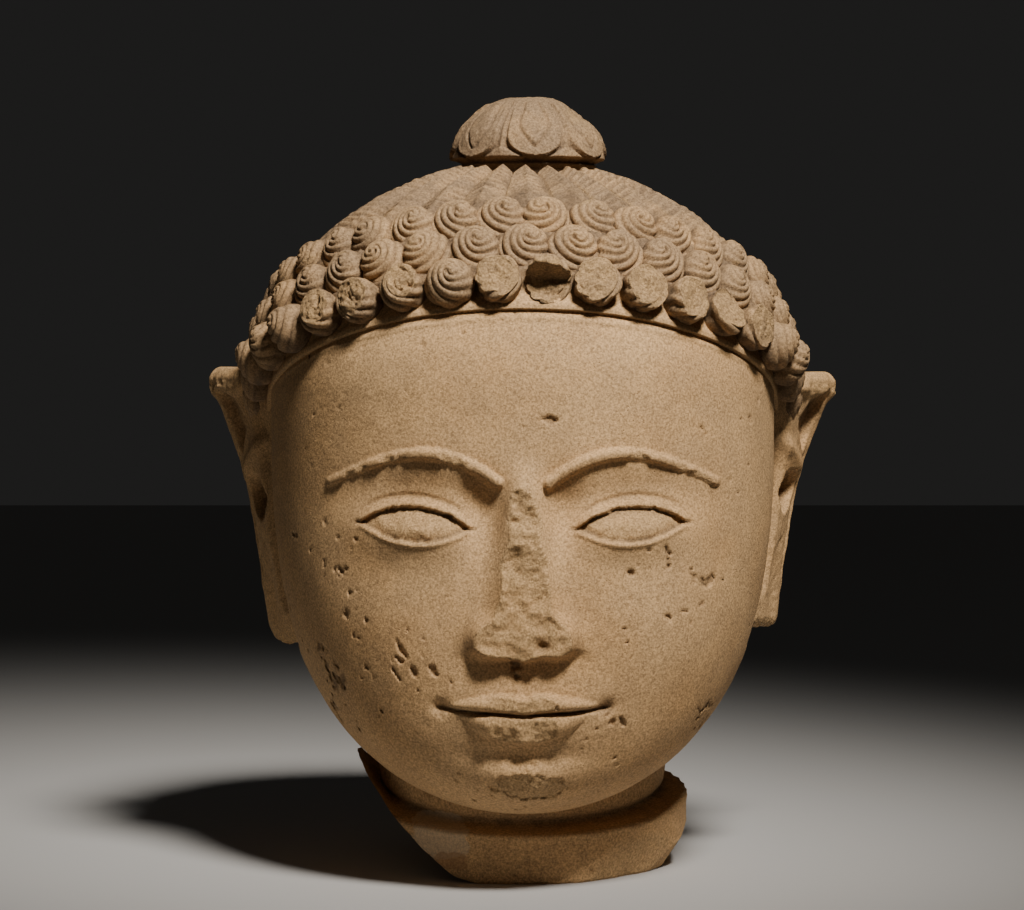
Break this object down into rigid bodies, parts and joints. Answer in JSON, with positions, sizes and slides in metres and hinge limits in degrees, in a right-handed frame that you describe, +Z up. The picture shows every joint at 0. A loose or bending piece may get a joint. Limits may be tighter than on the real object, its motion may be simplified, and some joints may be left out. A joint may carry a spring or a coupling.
{
  "type": "jina head sculpture",
  "caption": "Over-life-size carved sandstone head with radial locks, rows of snail-shell curls, a lotus topknot and long ears, worn and broken.",
  "frame": {"origin": "middle of the flat underside of the neck", "axes": "+Z up, the face looks towards -Y, +X on the viewer's right"},
  "size_m": [0.4626, 0.4084, 0.55],
  "materials": {
    "buff_sandstone": "dry, fine-grained carved sandstone, smooth on the face and rough where it is broken, dusty in the hollows"
  },
  "bodies": {
    "root": {"jina_head": "buff_sandstone"}
  },
  "joints": []
}
